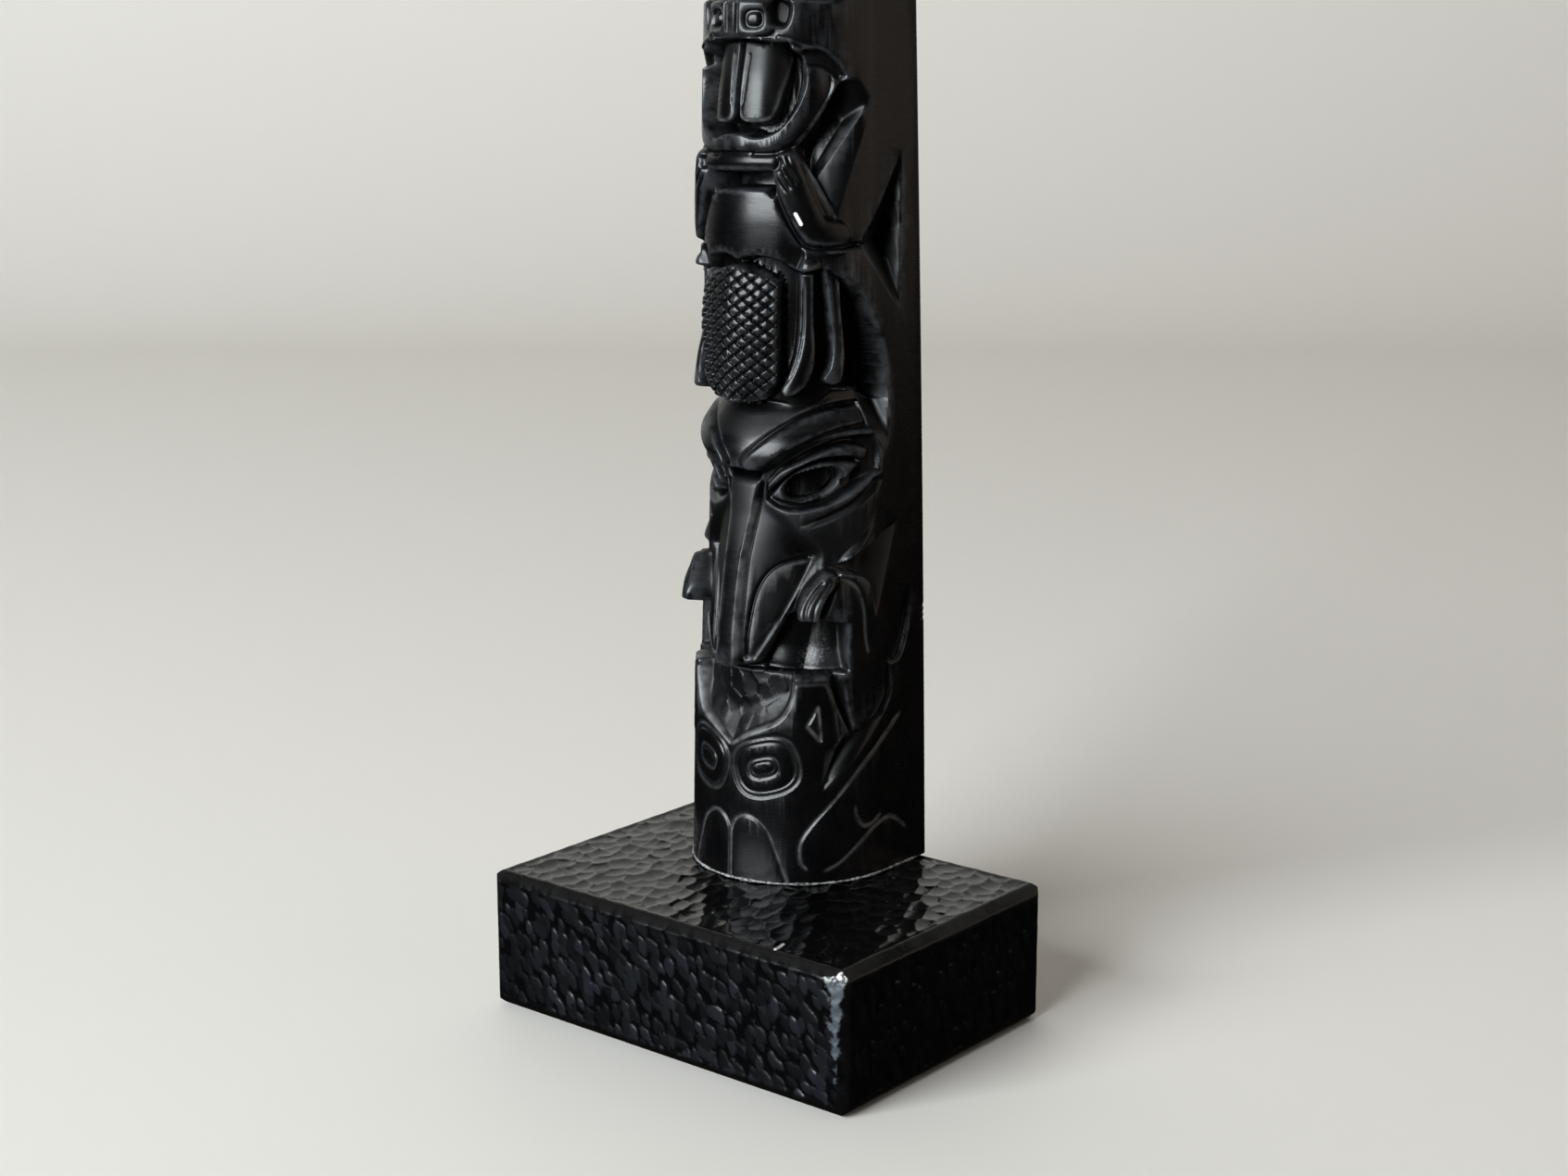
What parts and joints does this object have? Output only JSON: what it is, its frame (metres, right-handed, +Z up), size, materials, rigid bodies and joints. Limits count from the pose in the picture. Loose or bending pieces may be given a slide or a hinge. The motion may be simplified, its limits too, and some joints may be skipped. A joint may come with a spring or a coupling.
{
  "type": "totem pole",
  "caption": "Small souvenir totem pole, half-round log carved with a whale, a beaked bird and a beaver, standing on a gouged rectangular plinth.",
  "frame": {"origin": "centre of the plinth's underside, which rests on the table", "axes": "+Z up along the pole; -Y is the carved front; +X is to the viewer's right when facing the front"},
  "size_m": [0.0632, 0.045, 0.1648],
  "materials": {
    "carved_stone": "near-black, rubbed to a soft polish, with paler lines where the knife cut",
    "gouged_stone": "near-black, gouged into small glossy facets, with paler worn edges"
  },
  "bodies": {
    "root": {"pole": "carved_stone", "plinth": "gouged_stone"}
  },
  "joints": []
}
